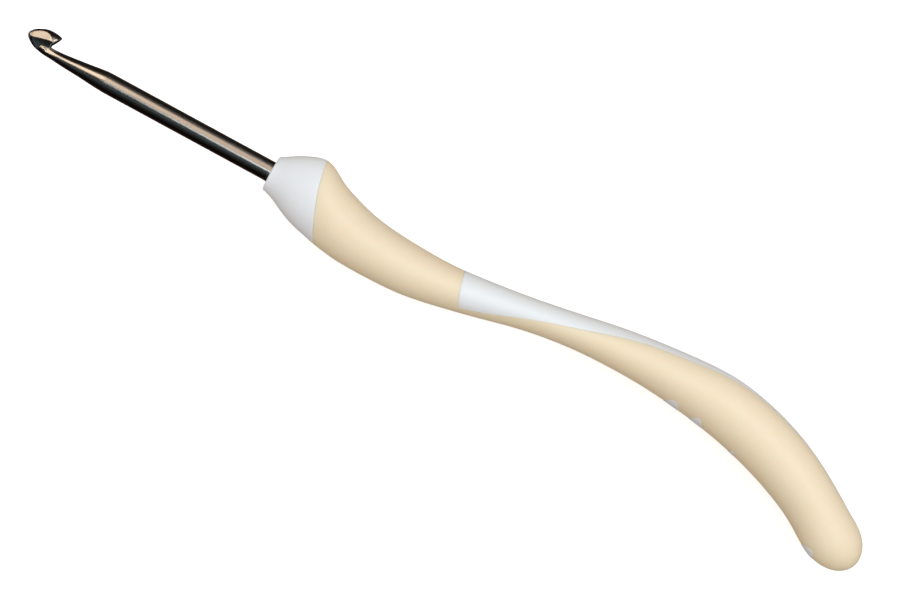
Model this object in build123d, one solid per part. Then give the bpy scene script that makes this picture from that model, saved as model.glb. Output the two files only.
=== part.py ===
from build123d import *
import math
import os

# Ergonomic crochet hook: a polished hook insert-moulded into a two-colour S-shaped handle.
#
# Row frame, millimetres.  The origin is where the shaft's axis meets the flat front face of the
# handle.  +X runs along the shaft towards the handle's tail, so the hook's tip is at negative X.
# +Y is the side that the hook's mouth opens to.  +Z is the normal of the plane that the S curve
# lies in, and the whole tool is symmetric about Z = 0, the way it lies on a table.

# ---- driving dimensions ----
SHAFT_DIAMETER = 3.5
TIP_TO_NOSE = 45.7
TAPER_LENGTH = 15.2
TANG_DIAMETER = 3.1
TANG_LENGTH = 12.5
TANG_FLAT_HALF_WIDTH = 1.15
TANG_GROOVE_DEPTH = 0.3
TANG_GROOVE_WIDTH = 1.2

NOSE_RIM_ROUND = 0.35
SKIN_THICKNESS = 1.2
INNER_BODY_FIRST_SECTION = 3

SHAFT_RADIUS = SHAFT_DIAMETER / 2
TANG_RADIUS = TANG_DIAMETER / 2

# Handle cross-sections are ellipses, each in a plane that holds the Z direction.
# Columns: centre x, centre y, lean in degrees (+ tips the top towards the hook),
# half height in that plane, half width along Z.
HANDLE_SECTIONS = [
    (0.0, 0.0, 0.0, 2.95, 2.95),
    (1.5, 0.1, 0.0, 3.65, 3.65),
    (3.8, 0.1, 2.5, 4.85, 4.8),
    (6.4, -0.05, 6.5, 5.95, 5.8),
    (8.5, -0.25, 11.5, 6.5, 6.3),
    (10.3, -0.75, 13.0, 6.5, 6.5),
    (12.0, -1.5, 10.0, 5.85, 6.6),
    (14.0, -2.15, 4.0, 5.35, 6.6),
    (17.0, -2.8, -2.0, 4.9, 6.55),
    (22.0, -3.25, -2.0, 4.5, 6.4),
    (28.0, -3.25, 3.0, 4.15, 6.0),
    (34.0, -2.7, 7.5, 3.6, 5.5),
    (40.0, -1.75, 10.0, 3.2, 5.05),
    (46.0, -0.65, 10.5, 2.85, 4.8),
    (52.0, 0.35, 9.0, 2.8, 4.8),
    (58.0, 1.2, 6.5, 3.05, 5.05),
    (64.0, 1.8, 4.0, 3.5, 5.45),
    (70.0, 2.1, 1.0, 3.95, 5.9),
    (76.0, 2.1, -2.0, 4.5, 6.25),
    (82.0, 1.75, -7.0, 5.0, 6.5),
    (88.0, 0.65, -13.5, 5.15, 6.6),
    (94.0, -1.15, -20.0, 5.1, 6.5),
    (100.0, -3.75, -26.5, 4.85, 6.25),
    (104.4, -6.25, -29.0, 4.7, 5.9),
    (107.8, -8.4, -25.5, 4.7, 5.55),
]
TAIL_CAP_LENGTH = 6.7
TAIL_CAP_STEPS = [0.5, 0.8, 0.94, 0.99]

# Front seam between the white nose and the soft grip, in the XY plane: top, middle, bottom.
NOSE_SEAM = [(6.9, 7.5), (8.5, 0.3), (12.3, -8.5)]

# White window along the back of the handle: section number, half angle about the centre line.
WINDOW_FRONT = [(35.3, 2.0), (36.1, -2.0), (38.2, -6.5)]
WINDOW_ANGLES = [
    (11, 106.0),
    (12, 122.0),
    (13, 104.0),
    (14, 91.0),
    (15, 80.0),
    (16, 65.0),
    (17, 54.0),
    (18, 45.0),
    (19, 34.0),
    (20, 26.0),
    (21, 23.0),
    (22, 21.0),
    (23, 19.0),
    (24, 15.0),
]
WINDOW_REACH = 12.0
WINDOW_TAIL_OVERRUN = 1.5

# Plain oval pads of the core that show through the grip along its belly:
# x and y on the centre line, lean, length along the handle, width across it.
BELLY_PADS = [
    (75.3, 2.1, -1.5, 3.0, 7.4),
    (80.4, 1.85, -5.5, 2.4, 7.4),
    (88.7, 0.4, -14.5, 1.2, 5.0),
    (107.9, -8.5, -26.0, 2.8, 5.8),
]

# Hook sections, x measured from the tip: x, bottom y, top y, half width along Z.
NECK_SECTIONS = [
    (2.3, -0.5, 0.35, 0.6),
    (3.0, -0.8, 0.65, 1.02),
    (4.0, -0.94, 0.72, 1.2),
    (6.0, -1.1, 0.72, 1.25),
    (8.0, -1.26, 0.9, 1.35),
    (11.0, -1.44, 1.26, 1.52),
    (13.5, -1.64, 1.6, 1.68),
    (TAPER_LENGTH, -SHAFT_RADIUS, SHAFT_RADIUS, SHAFT_RADIUS),
]
HEAD_SECTIONS = [
    (0.03, 0.9, 1.25, 0.25),
    (0.25, 0.56, 1.57, 0.66),
    (0.7, 0.17, 2.07, 1.1),
    (1.4, -0.3, 2.52, 1.42),
    (2.4, -0.68, 2.98, 1.68),
    (3.4, -0.88, 3.16, 1.78),
    (4.4, -1.0, 3.12, 1.76),
    (5.4, -1.08, 2.85, 1.62),
    (6.2, -1.12, 2.45, 1.4),
]
LIP = (5.4, 2.76)
THROAT = (4.4, 1.05)
MOUTH_HEIGHT_ABOVE_LIP = 2.0

# The head's side faces: a straight ridge runs from the tip to the throat, with a flat cheek that
# leans back above it and a long hollow below it.  Ridge points are x from the tip and half width.
RIDGE_Y = 1.35
RIDGE_FRONT = (0.7, 0.98)
RIDGE_REAR = (3.4, 1.62)
CHEEK_LEAN = 15.0
HOLLOW_RADIUS = 4.5
HOLLOW_FLOOR_Y = -1.2
HOLLOW_FLOOR_Z = 0.74
HOLLOW_START = 1.2
HOLLOW_END = 4.6

# The neck's side flats: x from the tip and half width at both ends, and their lean.
NECK_FLAT_START = (4.0, 1.06)
NECK_FLAT_END = (10.8, 1.54)
NECK_FLAT_LEAN = 8.0
FAR = 20.0


def section_plane(x, y, lean=0.0):
    """Plane at (x, y, 0) across the handle; its own X is 'up' the section and its Y is Z."""
    up = Vector(-math.sin(math.radians(lean)), math.cos(math.radians(lean)), 0)
    return Plane(origin=(x, y, 0), x_dir=up, z_dir=up.cross(Vector(0, 0, 1)))


def cap_sections(inset):
    """Ellipses that close the tail as a quarter of an ellipsoid, shrunk by the inset."""
    x, y, lean, height, width = HANDLE_SECTIONS[-1]
    axis = Vector(math.cos(math.radians(lean)), math.sin(math.radians(lean)), 0)
    for step in TAIL_CAP_STEPS:
        centre = Vector(x, y, 0) + axis * step * (TAIL_CAP_LENGTH - inset)
        size = math.sqrt(1 - step**2)
        yield section_plane(centre.X, centre.Y, lean) * Ellipse(
            (height - inset) * size, (width - inset) * size
        )


def handle_body(first=0, inset=0.0):
    """The handle's outer form, or the same form shrunk by the inset, from a given section on."""
    rings = [
        section_plane(x, y, lean) * Ellipse(height - inset, width - inset)
        for x, y, lean, height, width in HANDLE_SECTIONS[first:]
    ]
    return loft(rings + list(cap_sections(inset)))


def slab(edge_points, far_x):
    """Everything on one side of a bowed seam that runs from top to bottom across the handle."""
    top, middle, bottom = edge_points
    seam = ThreePointArc(top, middle, bottom)
    rest = Polyline(bottom, (far_x, bottom[1]), (far_x, top[1]), top)
    return extrude(make_face(Wire([seam] + rest.edges())), FAR, both=True)


def window_sector(plane, half_angle):
    """A pie slice about the centre line, open by half_angle to each side of the top."""
    angle = math.radians(half_angle)
    side = WINDOW_REACH * math.cos(angle), WINDOW_REACH * math.sin(angle)
    arc = ThreePointArc(side, (WINDOW_REACH, 0), (side[0], -side[1]))
    spokes = Polyline((side[0], -side[1]), (0, 0), side)
    return plane * make_face(Wire([arc] + spokes.edges()))


def window_body(full):
    """The white back strip: pie slices lofted along the handle, cut to its skin and front seam."""
    slices = []
    for number, half_angle in WINDOW_ANGLES:
        x, y, lean, _, _ = HANDLE_SECTIONS[number]
        slices.append(window_sector(section_plane(x, y, lean), half_angle))
    x, y, lean, _, _ = HANDLE_SECTIONS[-1]
    reach = Vector(math.cos(math.radians(lean)), math.sin(math.radians(lean)), 0)
    last = Vector(x, y, 0) + reach * WINDOW_TAIL_OVERRUN
    slices.append(window_sector(section_plane(last.X, last.Y, lean), WINDOW_ANGLES[-1][1]))
    return (loft(slices) & full) - slab(WINDOW_FRONT, 0.0)


def belly_pad(x, y, lean, length, width):
    """An oval peg from the centre line out through the belly."""
    up = Vector(-math.sin(math.radians(lean)), math.cos(math.radians(lean)), 0)
    plane = Plane(origin=(x, y, 0), x_dir=(0, 0, 1), z_dir=-up)
    return extrude(plane * SlotOverall(width, length), WINDOW_REACH)


def tang():
    """The buried end, turned down to a shoulder at the nose: a ring groove, and two flats."""
    rod = Pos(TANG_LENGTH / 2, 0, 0) * Rot(0, 90, 0) * Cylinder(TANG_RADIUS, TANG_LENGTH)
    groove_x = TANG_LENGTH / 3
    ring = Pos(groove_x, 0, 0) * Rot(0, 90, 0) * Cylinder(FAR, TANG_GROOVE_WIDTH)
    ring -= Pos(groove_x, 0, 0) * Rot(0, 90, 0) * Cylinder(
        TANG_RADIUS - TANG_GROOVE_DEPTH, TANG_GROOVE_WIDTH
    )
    flat_length = TANG_LENGTH / 2
    cutter = Box(flat_length, FAR, FAR, align=(Align.MAX, Align.CENTER, Align.MIN))
    rod -= ring
    rod -= Pos(TANG_LENGTH, 0, TANG_FLAT_HALF_WIDTH) * cutter
    rod -= Pos(TANG_LENGTH, 0, -TANG_FLAT_HALF_WIDTH) * Rot(180, 0, 0) * cutter
    return rod


def from_tip(x):
    """Row x of a length measured from the hook's tip."""
    return x - TIP_TO_NOSE


def hook_loft(sections):
    """A loft through upright ellipses given by bottom, top and half width."""
    rings = [
        section_plane(from_tip(x), (bottom + top) / 2) * Ellipse((top - bottom) / 2, width)
        for x, bottom, top, width in sections
    ]
    return loft(rings)


def mouth():
    """The open side of the hook: all that lies behind the lip and throat."""
    lip_x, lip_y = from_tip(LIP[0]), LIP[1]
    throat_x, throat_y = from_tip(THROAT[0]), THROAT[1]
    slope = (lip_x - throat_x) / (lip_y - throat_y)
    above = lip_y + MOUTH_HEIGHT_ABOVE_LIP
    outline = Polyline(
        (throat_x, -FAR / 4),
        (throat_x, throat_y),
        (lip_x + slope * (above - lip_y), above),
        (lip_x + FAR / 2, above),
        (lip_x + FAR / 2, -FAR / 4),
        close=True,
    )
    return extrude(make_face(outline), FAR / 2, both=True)


def cheek(side):
    """What lies outside the flat cheek above the ridge on one side of the head."""
    front = Vector(from_tip(RIDGE_FRONT[0]), RIDGE_Y, side * RIDGE_FRONT[1])
    rear = Vector(from_tip(RIDGE_REAR[0]), RIDGE_Y, side * RIDGE_REAR[1])
    lean = math.radians(CHEEK_LEAN)
    up = Vector(0, math.cos(lean), -side * math.sin(lean))
    ridge = (rear - front).normalized()
    outward = ridge.cross(up) * side
    return extrude(Plane(origin=rear, x_dir=ridge, z_dir=outward) * Rectangle(FAR, FAR), FAR / 4)


def side_hollow(side):
    """The shallow hollow below the ridge, cut with a large round-ended tool along X."""
    start = from_tip(HOLLOW_START)
    end = from_tip(HOLLOW_END)
    outline = Wire([
        RadiusArc((start - HOLLOW_RADIUS, 0), (start, HOLLOW_RADIUS), HOLLOW_RADIUS),
        Line((start, HOLLOW_RADIUS), (end, HOLLOW_RADIUS)),
        RadiusArc((end, HOLLOW_RADIUS), (end + HOLLOW_RADIUS, 0), HOLLOW_RADIUS),
        Line((end + HOLLOW_RADIUS, 0), (start - HOLLOW_RADIUS, 0)),
    ])
    tool = revolve(make_face(outline), Axis.X)
    return Pos(0, HOLLOW_FLOOR_Y, side * (HOLLOW_FLOOR_Z + HOLLOW_RADIUS)) * tool


def neck_flat(side):
    """A shallow flat on one side of the neck that runs out to a point on the taper."""
    start = Vector(from_tip(NECK_FLAT_START[0]), 0, side * NECK_FLAT_START[1])
    end = Vector(from_tip(NECK_FLAT_END[0]), 0, side * NECK_FLAT_END[1])
    along = (end - start).normalized()
    outward = along.cross(Vector(0, 1, 0)) * side
    reach = start + along * (FAR / 2)
    flat = Plane(origin=reach, x_dir=along, z_dir=outward) * Rectangle(FAR, FAR)
    return Rot(-side * NECK_FLAT_LEAN, 0, 0) * extrude(flat, FAR / 4)


def hook_shaft():
    """Hook head, tapered neck, round shaft and buried tang, one piece of metal."""
    head = hook_loft(HEAD_SECTIONS) - mouth()
    neck = hook_loft(NECK_SECTIONS)
    for side in (1, -1):
        head -= cheek(side)
        head -= side_hollow(side)
        neck -= neck_flat(side)
    length = TIP_TO_NOSE - TAPER_LENGTH
    shaft = Pos(-length / 2, 0, 0) * Rot(0, 90, 0) * Cylinder(SHAFT_RADIUS, length)
    return head + neck + shaft + tang()


def rounded_nose(full):
    """Rounds the rim of the flat front face."""
    rim = full.edges().sort_by(Axis.X)[0]
    return fillet(rim, NOSE_RIM_ROUND)


def handle_core(full, shaft):
    """White hard moulding: nose, inner body, back strip and belly pads, round the tang."""
    nose = full & slab(NOSE_SEAM, -1.0)
    core = nose + handle_body(INNER_BODY_FIRST_SECTION, SKIN_THICKNESS) + window_body(full)
    for pad in BELLY_PADS:
        core += full & belly_pad(*pad)
    return core - shaft


def soft_grip(full, core, shaft):
    """Cream soft skin moulded over the core, flush with its nose, strip and pads."""
    return full - core - shaft


full_handle = rounded_nose(handle_body())
metal = hook_shaft()
white = handle_core(full_handle, metal)
cream = soft_grip(full_handle, white, metal)

os.makedirs("parts", exist_ok=True)
for node, solid in {"hook_shaft": metal, "handle_core": white, "soft_grip": cream}.items():
    export_step(solid, f"parts/{node}.step")
    print(node, round(solid.volume, 2), "mm3,", len(solid.solids()), "solid(s)")
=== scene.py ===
"""Looks of an ergonomic crochet hook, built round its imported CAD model.

The handle's outer skin is read off the CAD solids with rays, smoothed, and rebuilt as clean quad
shells: the white nose, the white strip along the back, the belly pads and the cream soft grip.
The metal hook is rebuilt the same way from rays round its neck, throat and head.
Lengths are millimetres in the row frame until a mesh is written, which is in metres.
Floor, backdrop, lights and camera show it lying on its side, seen from straight above.
"""
import math

import bmesh
import bpy
import numpy as np
from mathutils import Matrix, Vector
from mathutils.bvhtree import BVHTree


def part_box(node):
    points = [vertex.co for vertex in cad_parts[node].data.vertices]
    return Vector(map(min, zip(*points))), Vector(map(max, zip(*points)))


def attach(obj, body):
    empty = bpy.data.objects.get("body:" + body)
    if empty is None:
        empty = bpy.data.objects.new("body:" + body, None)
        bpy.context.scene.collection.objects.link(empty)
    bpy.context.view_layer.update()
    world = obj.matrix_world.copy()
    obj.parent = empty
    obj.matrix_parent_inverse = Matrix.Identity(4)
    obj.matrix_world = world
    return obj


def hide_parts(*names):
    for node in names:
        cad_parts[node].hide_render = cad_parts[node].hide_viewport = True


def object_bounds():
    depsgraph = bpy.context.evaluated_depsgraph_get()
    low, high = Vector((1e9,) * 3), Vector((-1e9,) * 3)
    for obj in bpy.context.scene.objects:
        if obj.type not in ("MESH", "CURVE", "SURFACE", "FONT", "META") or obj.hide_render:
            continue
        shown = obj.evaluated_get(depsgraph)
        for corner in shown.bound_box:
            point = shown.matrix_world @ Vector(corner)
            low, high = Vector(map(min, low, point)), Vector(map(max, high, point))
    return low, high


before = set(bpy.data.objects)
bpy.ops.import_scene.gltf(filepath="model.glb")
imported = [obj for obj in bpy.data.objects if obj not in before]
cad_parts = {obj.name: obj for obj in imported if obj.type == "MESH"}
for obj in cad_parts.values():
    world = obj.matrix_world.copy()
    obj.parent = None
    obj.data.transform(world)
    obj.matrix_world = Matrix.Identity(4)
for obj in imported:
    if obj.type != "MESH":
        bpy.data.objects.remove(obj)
cad_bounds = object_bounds()

MM = 0.001

# ---- mould details, millimetres ----
NOSE_RIM = 0.35
SHAFT_RADIUS = 1.75
SHAFT_CLEARANCE = 0.03
SHELL_THICKNESS = 1.05
EDGE_ROUND = 0.11
EDGE_SEGMENTS = 3
SHARP_EDGE = math.radians(50)
STRIP_END_LENGTH = 2.2
PAD_RISE = 0.05
PAD_THICKNESS = 0.4
PAD_EDGE_ROUND = 0.06
TAIL_CAP_LENGTH = 6.2
WELD_DISTANCE = 0.001

# ---- the metal hook, millimetres ----
SHAFT_FIRST_X = -0.1
SHAFT_PAST_TAPER = 1.0
NECK_PAST_TAPER = 0.8
TAPER_FROM_TIP = 15.2
MOUTH_FROM_TIP = 5.6
MOUTH_Y = 1.7
RING_TOP_Y = 8.0
RING_REACH = 20.0
THINNEST_RING = 0.05
HOOK_INSIDE_NOSE = 1.5

# ---- rays that read the handle, and how their readings are smoothed ----
ROW_SPACING = 0.5
RAYS_ROUND = 96
RAY_HEIGHT = 30.0
RAY_RADIUS = 14.0
HARMONICS = 10
SMOOTHING_ROWS = 1.2
CENTRE_SMOOTHING = 6
TANGENT_SMOOTHING = 4
STRIP_SMOOTHING = 2
NOSE_SEAM_ANGLES = range(0, 181, 15)
WINDOW_SEAM_ANGLES = range(0, 100, 12)
SEAM_MARGIN = 2.0
SEAM_HALVINGS = 40
FRONT_FIRST_ROW = 70.0
FRONT_PASSES = 12
PADS_FIRST_ROW = 100
PAD_STEPS_PER_ROW = 10
PAD_WIDEST = 2.0

# ---- mesh densities: rows run along the handle, columns run round it ----
CAP_ROWS = 16
NOSE_COLUMNS = 73
NOSE_ROWS = 19
RIM_ANGLES = range(18, 90, 18)
STRIP_COLUMNS = 49
STRIP_ROW_STEP = 1.3
BELLY_COLUMNS = 65
BACK_COLUMNS = 41
GRIP_FRONT_ROWS = 56
GRIP_SIDE_ROWS = 140
GRIP_END_ROWS = 9
GRIP_END_FIRST_ANGLE = 10
PAD_COLUMNS = 49
PAD_RINGS = (0.0, 0.3, 0.6, 0.85, 1.0)
HOOK_RAYS = 144
SHAFT_RINGS = 16
NECK_RINGS = 50
FAN_STEP = 1.0
FAN_END = 280
RING_SMOOTHING = 1.2
RING_WRAP = 6
NECK_SMOOTHING = 1.5

# ---- camera, millimetres; the view's middle is a little off the object's ----
VIEW_SHIFT = (1.196, -1.039)
VIEW_WIDTH = 146.5
ROLL = math.radians(28.52)
LENS = 150.0
SENSOR = 36.0

# ---- floor, backdrop and lights, metres and watts ----
FLOOR_SIZE = 6.0
FLOOR_GAP = 0.0001
BACKDROP_RADIUS = 2.6
LIGHT_DISTANCE = 0.6
KEY_FROM = (0.28, 0.42, 0.86)
KEY_SIZE = (0.5, 0.4)
SKY_OVERHEAD = (0.83, 0.825, 0.84)
SKY_BELOW = (0.36, 0.24, 0.14)
SKY_CHANGE = (-0.2, 0.3)

# lights that only the hook mirrors: a cool strip and a warm box overhead, a white window behind,
# dim surroundings, and bright ends and ground that show mostly from the sides
# name, angle from overhead, place along the handle, length, breadth, power, colour
HOOK_LIGHTS = [
    ("cool_strip", -3.5, 0.41, 1.00, 0.12, 1.08, (0.86, 0.96, 1.0)),
    ("warm_box", 27, -0.10, 1.60, 0.42, 1.18, (1.0, 0.74, 0.57)),
    ("warm_window", 25, -0.31, 0.34, 0.42, 0.46, (1.0, 0.88, 0.66)),
    ("white_window", 52, 0.16, 0.30, 0.28, 0.60, (1.0, 0.98, 0.95)),
    ("grey_side", -55, 0.0, 0.80, 0.44, 0.012, (0.95, 1.0, 1.0)),
    ("blue_side", -34, 0.0, 0.80, 0.20, 0.030, (0.5, 0.83, 1.0)),
    ("brown_far_side", 135, 0.0, 0.80, 0.40, 0.035, (1.0, 0.6, 0.42)),
    ("brown_near_side", -135, 0.0, 0.80, 0.40, 0.030, (1.0, 0.35, 0.2)),
    ("right_end", 12, 1.10, 0.70, 0.60, 2.60, (1.0, 0.97, 0.93)),
    ("left_end", 12, -1.25, 0.70, 0.60, 2.60, (1.0, 0.97, 0.93)),
    ("right_ground", 180, 0.95, 0.80, 1.00, 1.80, (1.0, 0.97, 0.94)),
    ("left_ground", 180, -0.95, 0.80, 1.00, 1.80, (1.0, 0.97, 0.94)),
]


# ---- reading the CAD surface ----
class Solids:
    """Some CAD nodes as one ray-cast tree that knows which node a ray meets."""

    def __init__(self, *names):
        vertices, faces = [], []
        self.owner = []
        for name in names:
            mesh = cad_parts[name].data
            base = len(vertices)
            vertices += [v.co / MM for v in mesh.vertices]
            faces += [[base + i for i in p.vertices] for p in mesh.polygons]
            self.owner += [name] * len(mesh.polygons)
        self.tree = BVHTree.FromPolygons(vertices, faces)

    def hit(self, start, direction):
        """(place, node) where a ray first meets the solids, or (None, None)."""
        place, _, index, _ = self.tree.ray_cast(Vector(start), Vector(direction))
        return (place, self.owner[index]) if place else (None, None)


def gaussian_smooth(values, sigma):
    """Smooths each column along the first axis; both ends keep their value and slope."""
    reach = int(4 * sigma) + 1
    weights = np.exp(-0.5 * (np.arange(-reach, reach + 1) / sigma) ** 2)
    weights /= weights.sum()
    values = np.asarray(values, float)
    flat = values.reshape(len(values), -1)
    head = 2 * flat[0] - flat[reach:0:-1]
    tail = 2 * flat[-1] - flat[-2 : -reach - 2 : -1]
    padded = np.vstack([head, flat, tail])
    out = [np.convolve(column, weights, "valid") for column in padded.T]
    return np.array(out).T.reshape(values.shape)


def cubic_rows(table, s):
    """Catmull-Rom interpolation of the table's rows at fractional row numbers s."""
    s = np.clip(s, 0, len(table) - 1.000001)
    i = np.floor(s).astype(int)
    f = (s - i)[..., None]
    last = len(table) - 1
    p0, p1 = table[np.maximum(i - 1, 0)], table[i]
    p2, p3 = table[np.minimum(i + 1, last)], table[np.minimum(i + 2, last)]
    return p1 + 0.5 * f * (
        p2 - p0 + f * (2 * p0 - 5 * p1 + 4 * p2 - p3 + f * (3 * (p1 - p2) + p3 - p0))
    )


class HandleSkin:
    """The handle's outer surface as a smooth function of s, in rows from nose to tail, and phi.

    Each row has a centre and a tangent angle on the handle's centre line, and a polar angle that
    is 90 degrees along the body and closes to 0 over the rounded tail.  phi is 0 on the back and
    grows towards +Z.  The radius is a cosine series in phi, because the handle is symmetric.
    """

    def __init__(self, solids, first_x, last_x):
        self.solids = solids
        x = np.linspace(first_x, last_x, int((last_x - first_x) / ROW_SPACING))
        middle = []
        for value in x:
            top, _ = solids.hit((value, RAY_HEIGHT, 0), (0, -1, 0))
            bottom, _ = solids.hit((value, -RAY_HEIGHT, 0), (0, 1, 0))
            middle.append((top.y + bottom.y) / 2)
        y = gaussian_smooth(middle, CENTRE_SMOOTHING)
        tangent = np.arctan(np.gradient(y, x))
        tangent = gaussian_smooth(tangent, TANGENT_SMOOTHING)
        polar = np.radians(90 * (1 - np.arange(1, CAP_ROWS + 1) / CAP_ROWS))
        ends = np.ones(CAP_ROWS)
        self.table = np.column_stack([
            np.concatenate([x, x[-1] * ends]),
            np.concatenate([y, y[-1] * ends]),
            np.concatenate([tangent, tangent[-1] * ends]),
            np.concatenate([np.full(len(x), math.pi / 2), polar]),
        ])
        self.rows = len(self.table)
        self.body_rows = len(x)
        phi = np.linspace(0, 2 * math.pi, RAYS_ROUND, endpoint=False)
        radius = np.zeros((self.rows, RAYS_ROUND))
        for i in range(self.rows):
            for j, angle in enumerate(phi):
                radius[i, j] = self.ray(float(i), angle)[0]
        series = [radius.mean(axis=1)]
        for k in range(1, HARMONICS + 1):
            series.append(2 * (radius * np.cos(k * phi)).mean(axis=1))
        series = gaussian_smooth(np.array(series).T, SMOOTHING_ROWS)
        self.table = np.column_stack([self.table, series])

    def frame_at(self, s, phi):
        """Centre and outward direction for a point of the skin."""
        row = cubic_rows(self.table[:, :4], np.asarray(s, float))
        cx, cy, tangent, polar = np.moveaxis(row, -1, 0)
        along = np.stack([np.cos(tangent), np.sin(tangent), 0 * tangent], -1)
        up = np.stack([-np.sin(tangent), np.cos(tangent), 0 * tangent], -1)
        side = np.zeros_like(up)
        side[..., 2] = 1
        phi = np.asarray(phi, float)[..., None]
        polar = polar[..., None]
        out = np.cos(polar) * along + np.sin(polar) * (np.cos(phi) * up + np.sin(phi) * side)
        return np.stack([cx, cy, 0 * cx], -1), out

    def ray(self, s, phi):
        """(radius, node) of the CAD surface in one direction."""
        centre, out = self.frame_at(s, phi)
        place, node = self.solids.hit(centre + RAY_RADIUS * out, -out)
        return (Vector(centre) - place).length, node

    def at(self, s, phi, lift=0.0):
        """Points of the smooth skin for arrays s and phi, lifted outward by lift."""
        s, phi = np.broadcast_arrays(np.asarray(s, float), np.asarray(phi, float))
        centre, out = self.frame_at(s, phi)
        series = cubic_rows(self.table[:, 4:], s)
        radius = sum(series[..., k] * np.cos(k * phi) for k in range(HARMONICS + 1))
        return centre + (radius + lift)[..., None] * out


def bisect(low, high, is_low, steps=12):
    """The value between low and high where is_low stops being true."""
    for _ in range(steps):
        middle = (low + high) / 2
        low, high = (middle, high) if is_low(middle) else (low, middle)
    return (low + high) / 2


class Seams:
    """Where the two plastics meet on the skin, found with rays."""

    def __init__(self, skin):
        self.skin = skin
        self.nose_curve, nose_row = self.cross_seam(0, "handle_core", NOSE_SEAM_ANGLES)
        first = nose_row + SEAM_MARGIN / ROW_SPACING
        self.window_curve, window_row = self.cross_seam(first, "soft_grip", WINDOW_SEAM_ANGLES)
        row = math.ceil(window_row + SEAM_MARGIN / ROW_SPACING)
        rows, angles = [], []
        while row < skin.rows and skin.ray(float(row), 0.0)[1] == "handle_core":
            rows.append(row)
            angles.append(self.half_angle(row))
            row += 1
        self.strip_end = float(rows[-1])
        angles = gaussian_smooth(angles, STRIP_SMOOTHING)
        lead = np.arange(0, rows[0])
        slope = angles[1] - angles[0]
        self.angle_table = np.concatenate([angles[0] + slope * (lead - rows[0]), angles])

    def cross_seam(self, start_row, node, degrees):
        """A seam across the handle: x as a quadratic in y, and the last row that it reaches."""
        points, last = [], 0.0
        for phi in np.radians(degrees):
            row = math.ceil(start_row)
            while self.skin.ray(float(row), phi)[1] == node:
                row += 1
            s = bisect(row - 1.0, float(row), lambda v: self.skin.ray(v, phi)[1] == node)
            points.append(self.skin.at(s, phi))
            last = max(last, s)
        points = np.array(points)
        return np.polyfit(points[:, 1], points[:, 0], 2), last

    def half_angle(self, row):
        """How far the white strip reaches round from the back at one row."""
        phi = 0.0
        step = math.radians(2)
        while self.skin.ray(float(row), phi)[1] == "handle_core":
            phi += step
        return bisect(phi - step, phi, lambda v: self.skin.ray(float(row), v)[1] == "handle_core")

    def row_on(self, curve, phi):
        """The rows at which the skin crosses a seam curve, for an array of phi."""
        low = np.zeros_like(phi)
        high = np.full_like(phi, self.skin.body_rows - 1.0)
        for _ in range(SEAM_HALVINGS):
            middle = (low + high) / 2
            point = self.skin.at(middle, phi)
            before = point[..., 0] < np.polyval(curve, point[..., 1])
            low = np.where(before, middle, low)
            high = np.where(before, high, middle)
        return (low + high) / 2


# ---- meshes ----
def build_mesh(name, blocks):
    """A mesh from blocks of points, rows running along the handle and columns round it."""
    shape = bmesh.new()
    for block in blocks:
        rows = [[shape.verts.new(point * MM) for point in row] for row in block]
        for near, far in zip(rows, rows[1:]):
            for j in range(len(near) - 1):
                shape.faces.new((near[j], near[j + 1], far[j + 1], far[j]))
    bmesh.ops.remove_doubles(shape, verts=shape.verts, dist=WELD_DISTANCE * MM)
    bmesh.ops.dissolve_degenerate(shape, edges=shape.edges, dist=WELD_DISTANCE * MM)
    mesh = bpy.data.meshes.new(name)
    shape.to_mesh(mesh)
    shape.free()
    piece = bpy.data.objects.new(name, mesh)
    bpy.context.scene.collection.objects.link(piece)
    return piece


def freeze(piece):
    """Makes the piece's modifiers real and shades it smooth."""
    settled = bpy.context.evaluated_depsgraph_get()
    mesh = bpy.data.meshes.new_from_object(piece.evaluated_get(settled))
    piece.modifiers.clear()
    piece.data = mesh
    mesh.shade_smooth()


def shell(piece, thickness=SHELL_THICKNESS, edge=EDGE_ROUND):
    """Turns a sheet of skin into a closed moulding with rounded edges."""
    solid = piece.modifiers.new("thickness", "SOLIDIFY")
    solid.thickness = thickness * MM
    solid.offset = -1
    rounding = piece.modifiers.new("edges", "BEVEL")
    rounding.width = edge * MM
    rounding.segments = EDGE_SEGMENTS
    rounding.limit_method = "ANGLE"
    rounding.angle_limit = SHARP_EDGE
    freeze(piece)


def finish_piece(piece, material, slot_name, *nodes):
    """Gives a piece its material and ties it to the frame."""
    piece.data.materials.clear()
    piece.data.materials.append(material)
    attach(piece, "root")
    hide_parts(*nodes)


def nose_blocks(skin, seams):
    """Flat face with the shaft's hole, rounded rim, and skin back to the seam."""
    phi = np.linspace(0, 2 * math.pi, NOSE_COLUMNS)
    rim = skin.at(0.0, phi)
    rows = []
    hole = SHAFT_RADIUS + SHAFT_CLEARANCE
    flat = np.linalg.norm(rim[:, 1:], axis=1) - NOSE_RIM
    unit = np.stack([0 * phi, np.cos(phi), np.sin(phi)], -1)
    for part in (0, 0.5, 1):
        rows.append(unit * (hole + part * (flat - hole))[:, None])
    for turn in np.radians(RIM_ANGLES):
        ring = unit * (flat + NOSE_RIM * math.sin(turn))[:, None]
        ring[:, 0] = NOSE_RIM * (1 - math.cos(turn))
        rows.append(ring)
    end = seams.row_on(seams.nose_curve, phi)
    for part in np.linspace(0, 1, NOSE_ROWS):
        rows.append(skin.at(part * end, phi))
    return [np.array(rows)]


def strip_rows(seams):
    """Rows where the strip's rounded end starts and stops."""
    return seams.strip_end - STRIP_END_LENGTH / ROW_SPACING, seams.strip_end


def strip_half_angle(seams, s):
    """The strip's half angle with its rounded end."""
    start, end = strip_rows(seams)
    turn = np.clip((s - start) / (end - start), 0, 1)
    table = seams.angle_table[:, None]
    return cubic_rows(table, np.minimum(s, end))[..., 0] * np.sqrt(np.maximum(1 - turn**2, 0))


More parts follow.
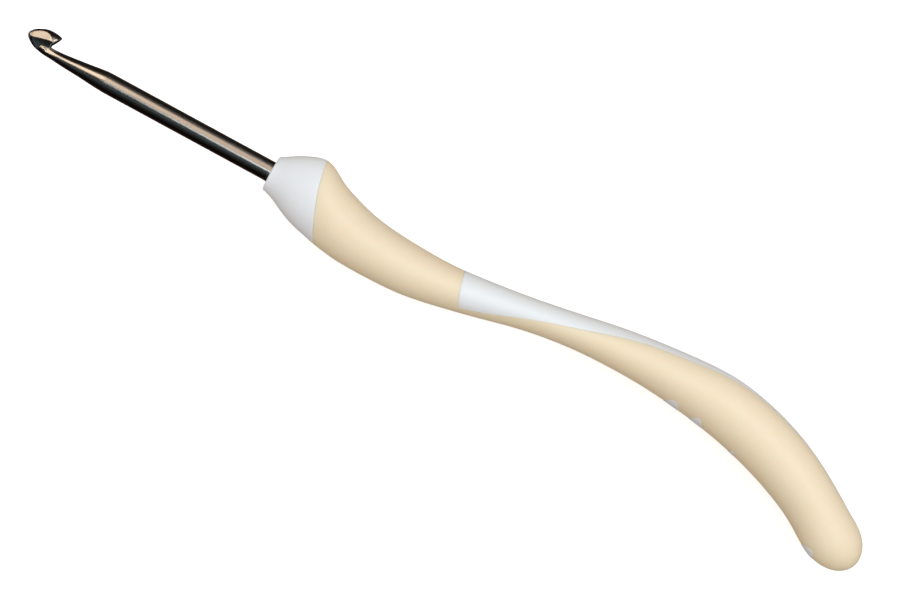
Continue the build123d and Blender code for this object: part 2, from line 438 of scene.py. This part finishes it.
def front_rows(seams, columns, angle_at):
    """Rows of the window's front edge, for columns whose angle at rows s is angle_at(s)."""
    s = np.full_like(columns, FRONT_FIRST_ROW)
    for _ in range(FRONT_PASSES):
        s = seams.row_on(seams.window_curve, angle_at(s))
    return s


def strip_blocks(skin, seams):
    """The window and the strip behind it, ending in a half round."""
    across = np.sin(np.linspace(-math.pi / 2, math.pi / 2, STRIP_COLUMNS))
    start, end = strip_rows(seams)
    front = front_rows(seams, across, lambda s: across * strip_half_angle(seams, s))
    tip = start + (end - start) * np.sqrt(1 - across**2)
    count = int((end - front.min()) / STRIP_ROW_STEP)
    rows = []
    for part in np.linspace(0, 1, count):
        s = front + part * (tip - front)
        # the half round comes from where the columns end, so the width isn't narrowed here
        width = cubic_rows(seams.angle_table[:, None], s)[..., 0]
        rows.append(skin.at(s, across * width))
    return [np.array(rows)]


def grip_blocks(skin, seams):
    """Rings in front of the window, a C round the strip, and the closed tail."""
    belly = np.linspace(0, 1, BELLY_COLUMNS)
    start, end = strip_rows(seams)

    def round_belly(s):
        half = strip_half_angle(seams, s)
        return half + (2 * math.pi - 2 * half) * belly

    front = front_rows(seams, belly, round_belly)
    corner = round_belly(front)
    back = np.linspace(corner[-1] - 2 * math.pi, corner[0], BACK_COLUMNS)
    ring = np.concatenate([back[:-1], corner])
    first = seams.row_on(seams.nose_curve, ring)
    last = seams.row_on(seams.window_curve, ring)
    parts = np.linspace(0, 1, GRIP_FRONT_ROWS)
    rings = [skin.at(first + part * (last - first), ring) for part in parts]

    c_rows = []
    for part in np.linspace(0, 1, GRIP_SIDE_ROWS):
        s = front + part * (start - front)
        c_rows.append(skin.at(s, round_belly(s)))
    for turn in np.radians(np.linspace(GRIP_END_FIRST_ANGLE, 90, GRIP_END_ROWS)):
        s = np.full_like(belly, start + (end - start) * math.sin(turn))
        c_rows.append(skin.at(s, round_belly(s)))
    tail = np.linspace(end, skin.rows - 1, int(skin.rows - end) + 1)[1:]
    for s in tail:
        c_rows.append(skin.at(np.full_like(belly, s), 2 * math.pi * belly))
    c_rows[-1][:] = c_rows[-1].mean(axis=0)
    return [np.array(rings), np.array(c_rows)]


def find_pads(skin):
    """The white pads on the belly: (first row, last row, half angle) of each."""
    pads, start = [], None
    belly = math.pi
    steps = range(PADS_FIRST_ROW * PAD_STEPS_PER_ROW, (skin.rows - 1) * PAD_STEPS_PER_ROW)
    for step in steps:
        s = step / PAD_STEPS_PER_ROW
        white = skin.ray(s, belly)[1] == "handle_core"
        if white and start is None:
            start = s
        if not white and start is not None:
            middle = (start + s) / 2
            side = bisect(
                0.0, PAD_WIDEST, lambda v: skin.ray(middle, belly + v)[1] == "handle_core"
            )
            pads.append((start, s, side))
            start = None
    return pads


def pad_blocks(skin, pad):
    """An oval patch of skin, a little proud of the grip."""
    first, last, side = pad
    middle, half = (first + last) / 2, (last - first) / 2
    turn = np.linspace(0, 2 * math.pi, PAD_COLUMNS)
    rows = []
    for part in PAD_RINGS:
        s = middle + part * half * np.cos(turn)
        phi = math.pi + part * side * np.sin(turn)
        rows.append(skin.at(s, phi, PAD_RISE))
    return [np.array(rows)]


def hook_stations(tip_x):
    """(x, y, angle) of planes across the hook: down the shaft and neck, then round the mouth."""
    taper = tip_x + TAPER_FROM_TIP
    mouth = tip_x + MOUTH_FROM_TIP
    shaft = np.linspace(SHAFT_FIRST_X, taper + SHAFT_PAST_TAPER, SHAFT_RINGS)
    neck = np.linspace(taper + NECK_PAST_TAPER, mouth, NECK_RINGS)
    straight = [(x, RING_TOP_Y, -90.0) for x in (*shaft, *neck)]
    fan = [(mouth, MOUTH_Y, -angle) for angle in np.arange(90 + FAN_STEP, FAN_END, FAN_STEP)]
    return straight + fan


def hook_rings():
    """Rings of points round the metal hook, from the nose to the lip, and the lip's end."""
    metal_solid = Solids("hook_shaft")
    tip_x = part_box("hook_shaft")[0].x / MM
    turn = np.linspace(0, 2 * math.pi, HOOK_RAYS, endpoint=False)
    centres, outs, radii = [], [], []
    for x, y, angle in hook_stations(tip_x):
        way = math.radians(angle)
        outward = Vector((math.cos(way), math.sin(way), 0))
        origin = Vector((x, y, 0))
        near, _ = metal_solid.hit(origin, outward)
        far, _ = metal_solid.hit(origin + RING_REACH * outward, -outward)
        if near is None or (near - far).length < THINNEST_RING:
            break
        centre = np.array((near + far) / 2)
        out = np.outer(np.cos(turn), outward) + np.outer(np.sin(turn), (0, 0, 1))
        found = [metal_solid.hit(centre, ray)[0] for ray in out]
        centres.append(centre)
        outs.append(out)
        radii.append([np.linalg.norm(np.array(place) - centre) for place in found])
    start = len([x for x, _, _ in hook_stations(tip_x) if x > tip_x + TAPER_FROM_TIP])
    radii = np.array(radii)
    wrapped = np.hstack([radii[:, -RING_WRAP:], radii, radii[:, :RING_WRAP]])
    radii = gaussian_smooth(wrapped.T, RING_SMOOTHING).T[:, RING_WRAP:-RING_WRAP]
    radii[start:] = gaussian_smooth(radii[start:], NECK_SMOOTHING)
    rings = np.array(centres)[:, None, :] + radii[..., None] * np.array(outs)
    return rings, np.array((near + far) / 2)


def hook_blocks():
    """The whole hook as one closed block of rings, its end hidden in the nose."""
    rings, tip = hook_rings()
    inside = rings[0].copy()
    inside[:, 0] = HOOK_INSIDE_NOSE
    core = np.broadcast_to(inside.mean(axis=0), inside.shape)
    point = np.broadcast_to(tip, inside.shape)
    rows = np.concatenate([[core, inside], rings, [point]])
    return [np.concatenate([rows, rows[:, :1]], axis=1)]


# ---- materials ----
def material(name, colour, roughness, metallic=0.0, **more):
    """A principled material and its shader node."""
    made = bpy.data.materials.new(name)
    made.use_nodes = True
    shader = made.node_tree.nodes["Principled BSDF"]
    shader.inputs["Base Color"].default_value = (*colour, 1)
    shader.inputs["Roughness"].default_value = roughness
    shader.inputs["Metallic"].default_value = metallic
    for socket, value in more.items():
        shader.inputs[socket.replace("_", " ")].default_value = value
    return made, shader


def grain(made, shader, size, depth, detail=3.0, roughness=None):
    """Fine surface grain: a bump of real size and, if asked, a roughness that varies with it."""
    nodes, links = made.node_tree.nodes, made.node_tree.links
    place = nodes.new("ShaderNodeTexCoord")
    noise = nodes.new("ShaderNodeTexNoise")
    noise.inputs["Scale"].default_value = 1 / (size * MM)
    noise.inputs["Detail"].default_value = detail
    bump = nodes.new("ShaderNodeBump")
    bump.inputs["Distance"].default_value = depth * MM
    bump.inputs["Strength"].default_value = 1.0
    links.new(place.outputs["Object"], noise.inputs["Vector"])
    links.new(noise.outputs["Fac"], bump.inputs["Height"])
    links.new(bump.outputs["Normal"], shader.inputs["Normal"])
    if roughness:
        span = nodes.new("ShaderNodeMapRange")
        span.inputs["To Min"].default_value = roughness[0]
        span.inputs["To Max"].default_value = roughness[1]
        links.new(noise.outputs["Fac"], span.inputs["Value"])
        links.new(span.outputs["Result"], shader.inputs["Roughness"])
    return bump


def waves(made, bump, size, depth):
    """Adds a gentle unevenness of real size under a material's grain."""
    nodes, links = made.node_tree.nodes, made.node_tree.links
    place = nodes.new("ShaderNodeTexCoord")
    noise = nodes.new("ShaderNodeTexNoise")
    noise.inputs["Scale"].default_value = 1 / (size * MM)
    noise.inputs["Detail"].default_value = 1.0
    wave = nodes.new("ShaderNodeBump")
    wave.inputs["Distance"].default_value = depth * MM
    wave.inputs["Strength"].default_value = 1.0
    links.new(place.outputs["Object"], noise.inputs["Vector"])
    links.new(noise.outputs["Fac"], wave.inputs["Height"])
    links.new(wave.outputs["Normal"], bump.inputs["Normal"])


metal, metal_shader = material("polished_metal", (0.72, 0.68, 0.64), 0.26, 1.0)
polish = grain(metal, metal_shader, 0.4, 0.0002, roughness=(0.24, 0.28))
waves(metal, polish, 2.2, 0.012)
white, white_shader = material("white_plastic", (0.81, 0.83, 0.845), 0.5)
satin = grain(white, white_shader, 0.12, 0.002, roughness=(0.46, 0.56))
waves(white, satin, 9.0, 0.02)
cream, cream_shader = material(
    "cream_soft_grip", (0.865, 0.735, 0.51), 0.5, Subsurface_Weight=0.4, Subsurface_Scale=0.0012
)
cream_shader.inputs["Subsurface Radius"].default_value = (1.0, 0.6, 0.35)
velvet = grain(cream, cream_shader, 0.10, 0.006, roughness=(0.45, 0.58))
waves(cream, velvet, 7.0, 0.03)


# ---- the pieces ----
solids = Solids("handle_core", "soft_grip")
tail_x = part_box("soft_grip")[1].x / MM
skin = HandleSkin(solids, NOSE_RIM, tail_x - TAIL_CAP_LENGTH)
seams = Seams(skin)

nose = build_mesh("nose", nose_blocks(skin, seams))
shell(nose)
finish_piece(nose, white, "white_plastic", "handle_core")

strip = build_mesh("back_strip", strip_blocks(skin, seams))
shell(strip)
finish_piece(strip, white, "white_plastic", "handle_core")

handle = [nose, strip]
for number, pad in enumerate(find_pads(skin), 1):
    patch = build_mesh("belly_pad_" + str(number), pad_blocks(skin, pad))
    shell(patch, PAD_THICKNESS, PAD_EDGE_ROUND)
    finish_piece(patch, white, "white_plastic", "handle_core")
    handle.append(patch)

grip = build_mesh("grip", grip_blocks(skin, seams))
shell(grip)
finish_piece(grip, cream, "cream_soft_grip", "soft_grip")

hook = build_mesh("hook", hook_blocks())
freeze(hook)
finish_piece(hook, metal, "polished_metal", "hook_shaft")

# ---- floor and backdrop ----
def pale_stage(still, name, finish_name, glow, grain_size, grain_depth):
    """A pale matt surface that glows softly and stays out of the object's light and mirror."""
    still.name = name
    finish, shader = material(finish_name, (0.9, 0.9, 0.9), 0.9)
    shader.inputs["Emission Color"].default_value = (1, 1, 1, 1)
    shader.inputs["Emission Strength"].default_value = glow
    grain(finish, shader, grain_size, grain_depth)
    still.data.materials.append(finish)
    still.visible_glossy = False
    still.visible_diffuse = False
    still.visible_shadow = False


scene = bpy.context.scene
middle = (Vector(cad_bounds[0]) + Vector(cad_bounds[1])) / 2
view_centre = Vector((middle.x + VIEW_SHIFT[0] * MM, middle.y + VIEW_SHIFT[1] * MM, 0))

floor_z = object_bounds()[0][2] - FLOOR_GAP
bpy.ops.mesh.primitive_plane_add(size=FLOOR_SIZE, location=(*view_centre.xy, floor_z))
floor = bpy.context.object
pale_stage(floor, "floor", "floor_paper", 0.5, 0.6, 0.01)

bpy.ops.mesh.primitive_uv_sphere_add(
    segments=48, ring_count=24, radius=BACKDROP_RADIUS, location=view_centre
)
backdrop = bpy.context.object
backdrop.data.shade_smooth()
pale_stage(backdrop, "backdrop", "pale_wall", 0.85, 20.0, 0.1)


# ---- lights ----
def area_light(name, direction, size, power, colour):
    """A soft light facing the view's middle; direction is where it stands, in the row frame."""
    data = bpy.data.lights.new(name, "AREA")
    data.shape = "RECTANGLE"
    data.size, data.size_y = size
    data.energy = power
    data.color = colour
    light = bpy.data.objects.new(name, data)
    scene.collection.objects.link(light)
    away = Vector(direction).normalized()
    # the light's own X lies along the handle
    across = away.cross(Vector((1, 0, 0))).normalized()
    turn = Matrix((across.cross(away), across, away)).transposed().to_4x4()
    light.matrix_world = Matrix.Translation(view_centre + away * LIGHT_DISTANCE) @ turn
    light.visible_camera = False
    return light


def toward(degrees):
    """Direction at an angle from straight overhead, towards the back of the handle (+Y)."""
    return (0.0, math.sin(math.radians(degrees)), math.cos(math.radians(degrees)))


def lights_only(light, pieces):
    """Makes a light reach only some pieces."""
    group = bpy.data.collections.new(light.name + "_reach")
    for piece in pieces:
        group.objects.link(piece)
    light.light_linking.receiver_collection = group


# one softbox lights the handle, with its own tint on the plastic and on the rubber
key = area_light("key", KEY_FROM, KEY_SIZE, 1.32, (0.91, 1.0, 0.99))
lights_only(key, handle + [floor])
grip_key = area_light("grip_key", KEY_FROM, KEY_SIZE, 1.49, (0.805, 0.835, 1.0))
lights_only(grip_key, [grip])

for name, angle, along, length, breadth, power, colour in HOOK_LIGHTS:
    light = area_light(name, toward(angle), (length, breadth), power, colour)
    light.location.x += along
    lights_only(light, [hook])

# even surroundings overhead, darker and warmer below, which the metal doesn't mirror
world = bpy.data.worlds.new("studio")
scene.world = world
world.use_nodes = True
world.cycles_visibility.glossy = False
sky = world.node_tree
heading = sky.nodes.new("ShaderNodeTexCoord")
height = sky.nodes.new("ShaderNodeSeparateXYZ")
fall = sky.nodes.new("ShaderNodeMapRange")
fall.inputs["From Min"].default_value = SKY_CHANGE[0]
fall.inputs["From Max"].default_value = SKY_CHANGE[1]
tint = sky.nodes.new("ShaderNodeValToRGB")
tint.color_ramp.elements[0].color = (*SKY_BELOW, 1)
tint.color_ramp.elements[1].color = (*SKY_OVERHEAD, 1)
sky.links.new(heading.outputs["Generated"], height.inputs["Vector"])
sky.links.new(height.outputs["Z"], fall.inputs["Value"])
sky.links.new(fall.outputs["Result"], tint.inputs["Fac"])
sky.links.new(tint.outputs["Color"], sky.nodes["Background"].inputs["Color"])

# ---- camera ----
scene.view_settings.view_transform = "Standard"
scene.view_settings.look = "None"

lens = bpy.data.cameras.new("camera")
lens.lens = LENS
lens.sensor_width = SENSOR
lens.clip_start = 0.01
camera = bpy.data.objects.new("camera", lens)
scene.collection.objects.link(camera)
camera.location = view_centre + Vector((0, 0, LENS * VIEW_WIDTH / SENSOR * MM))
camera.rotation_euler = (0, 0, ROLL)
scene.camera = camera
